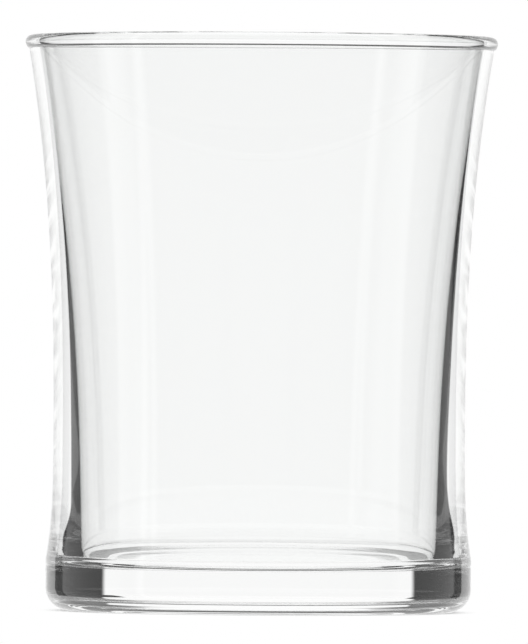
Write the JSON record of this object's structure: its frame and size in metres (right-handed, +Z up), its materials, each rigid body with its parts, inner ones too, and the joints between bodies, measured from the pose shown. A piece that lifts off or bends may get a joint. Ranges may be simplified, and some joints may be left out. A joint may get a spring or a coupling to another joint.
{
  "type": "rocks glass",
  "caption": "Waisted rocks glass of clear pressed glass, with a thick base, a wall that flares to a beaded lip, and a flat ring underneath to stand on.",
  "frame": {"origin": "on the glass's axis, in the plane of the ring it stands on", "axes": "+Z up along the axis, from the base to the rim; X and Y level, and alike because the glass is turned"},
  "size_m": [0.0822, 0.0822, 0.1],
  "materials": {
    "clear_glass": "clear fire-polished soda-lime glass"
  },
  "bodies": {
    "root": {"tumbler": "clear_glass"}
  },
  "joints": []
}
